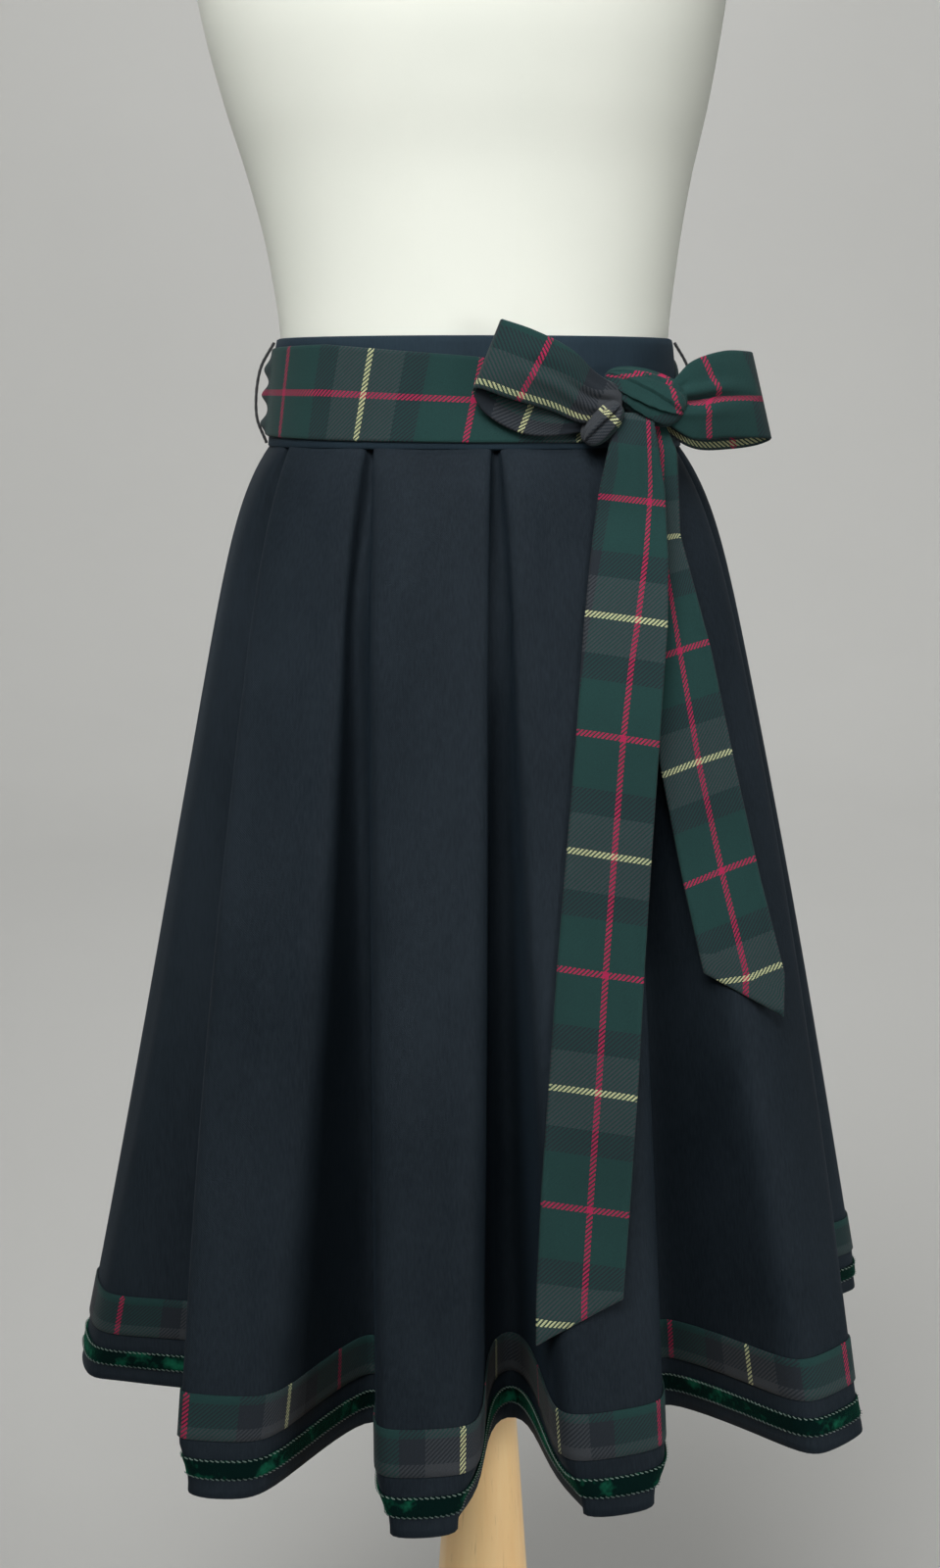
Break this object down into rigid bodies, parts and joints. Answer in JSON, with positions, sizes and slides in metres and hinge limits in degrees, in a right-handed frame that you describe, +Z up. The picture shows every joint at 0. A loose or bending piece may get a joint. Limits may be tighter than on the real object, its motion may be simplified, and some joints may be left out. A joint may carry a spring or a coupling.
{
  "type": "box-pleated dirndl skirt with tied sash on a limbless dress form and stand",
  "caption": "Knee-length box-pleated dirndl skirt with high waistband, tied checked sash, checked border and velvet ribbon at the hem, on a limbless dress form with a tapered wooden stand.",
  "frame": {"origin": "on the floor, on the flat underside of the round foot, below the axis of the skirt's waist", "axes": "+Z up; the front of the skirt faces -Y; +X is the wearer's left, the side of the bow"},
  "size_m": [0.5369, 0.4576, 1.54],
  "materials": {
    "skirt_cloth": "fine black twill, matt with a faint sheen",
    "band_cloth": "the same black twill, interfaced and pressed",
    "check_cloth": "green, dark and brown-grey twill check with thin red and pale yellow lines",
    "velvet": "bottle-green velvet ribbon with shiny looped edges",
    "thread": "black worked thread",
    "form_cover": "smooth off-white stretch cover",
    "wood": "clear-varnished light wood"
  },
  "bodies": {
    "root": {"skirt_front": "skirt_cloth", "skirt_back_right": "skirt_cloth", "skirt_back_left": "skirt_cloth", "waistband": "band_cloth", "hem_check_border": "check_cloth", "hem_velvet_ribbon": "velvet", "sash_belt": "check_cloth", "bow_knot": "check_cloth", "bow_under_turn": "check_cloth", "bow_loop_left": "check_cloth", "bow_loop_right": "check_cloth", "sash_tail_long": "check_cloth", "sash_tail_short": "check_cloth", "belt_loop_left": "thread", "belt_loop_right": "thread", "form_torso": "form_cover", "form_column": "wood", "form_base": "wood"}
  },
  "joints": []
}
